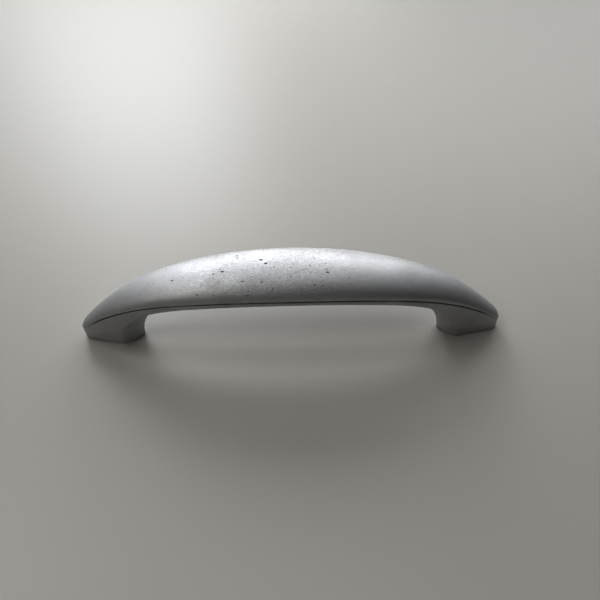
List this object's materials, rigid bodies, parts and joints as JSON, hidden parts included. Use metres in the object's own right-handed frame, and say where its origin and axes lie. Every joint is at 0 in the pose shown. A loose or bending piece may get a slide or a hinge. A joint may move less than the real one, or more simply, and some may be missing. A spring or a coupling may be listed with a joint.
{
  "type": "bridge pull handle",
  "caption": "Slim bow-shaped furniture pull: a domed lens-shaped grip on two boat-shaped feet, with blind tapped holes for fixing screws.",
  "frame": {"origin": "on the mounting plane, midway between the two fixing holes", "axes": "+X along the handle through both fixing holes, +Z away from the furniture front the handle is fixed to, +Y across the handle"},
  "size_m": [0.12, 0.0188, 0.0276],
  "materials": {
    "handle": "satin silver, plated or painted over a zinc die-casting, lightly worn: pits, fine scratches and smudges on the top of the grip"
  },
  "bodies": {
    "root": {"handle": "handle"}
  },
  "joints": []
}
